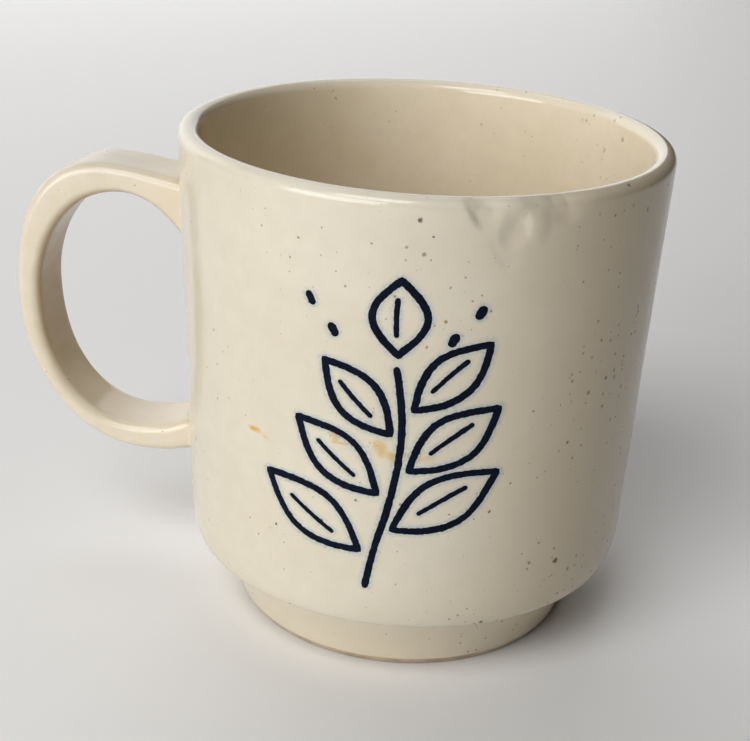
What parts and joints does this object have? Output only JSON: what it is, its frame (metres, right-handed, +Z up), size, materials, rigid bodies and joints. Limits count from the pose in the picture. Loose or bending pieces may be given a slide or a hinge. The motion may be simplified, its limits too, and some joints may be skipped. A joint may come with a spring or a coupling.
{
  "type": "ceramic mug",
  "caption": "Straight-walled glazed stoneware mug with a strap handle, a rounded stacking shoulder, a tapered foot and a brushed leafy sprig on the front.",
  "frame": {"origin": "on the mug's axis, in the plane of the foot's bare rim that stands on the table", "axes": "+Z up along the mug's axis out of its mouth; the handle points along -X; the brushed sprig faces -Y"},
  "size_m": [0.1124, 0.082, 0.0857],
  "materials": {
    "stoneware": "matt, bare fired clay with iron specks",
    "slip": "matt, fired slip",
    "glaze": "gloss, cream with brown iron specks",
    "blue_stain": "gloss, dark blue stain sunk into the glaze"
  },
  "bodies": {
    "root": {"stoneware_body": "stoneware", "handle": "stoneware", "upper_slip_joint": "slip", "lower_slip_joint": "slip", "liner_glaze": "glaze", "outer_glaze": "glaze", "base_glaze": "glaze", "handle_glaze": "glaze", "brushwork_motif": "blue_stain"}
  },
  "joints": []
}
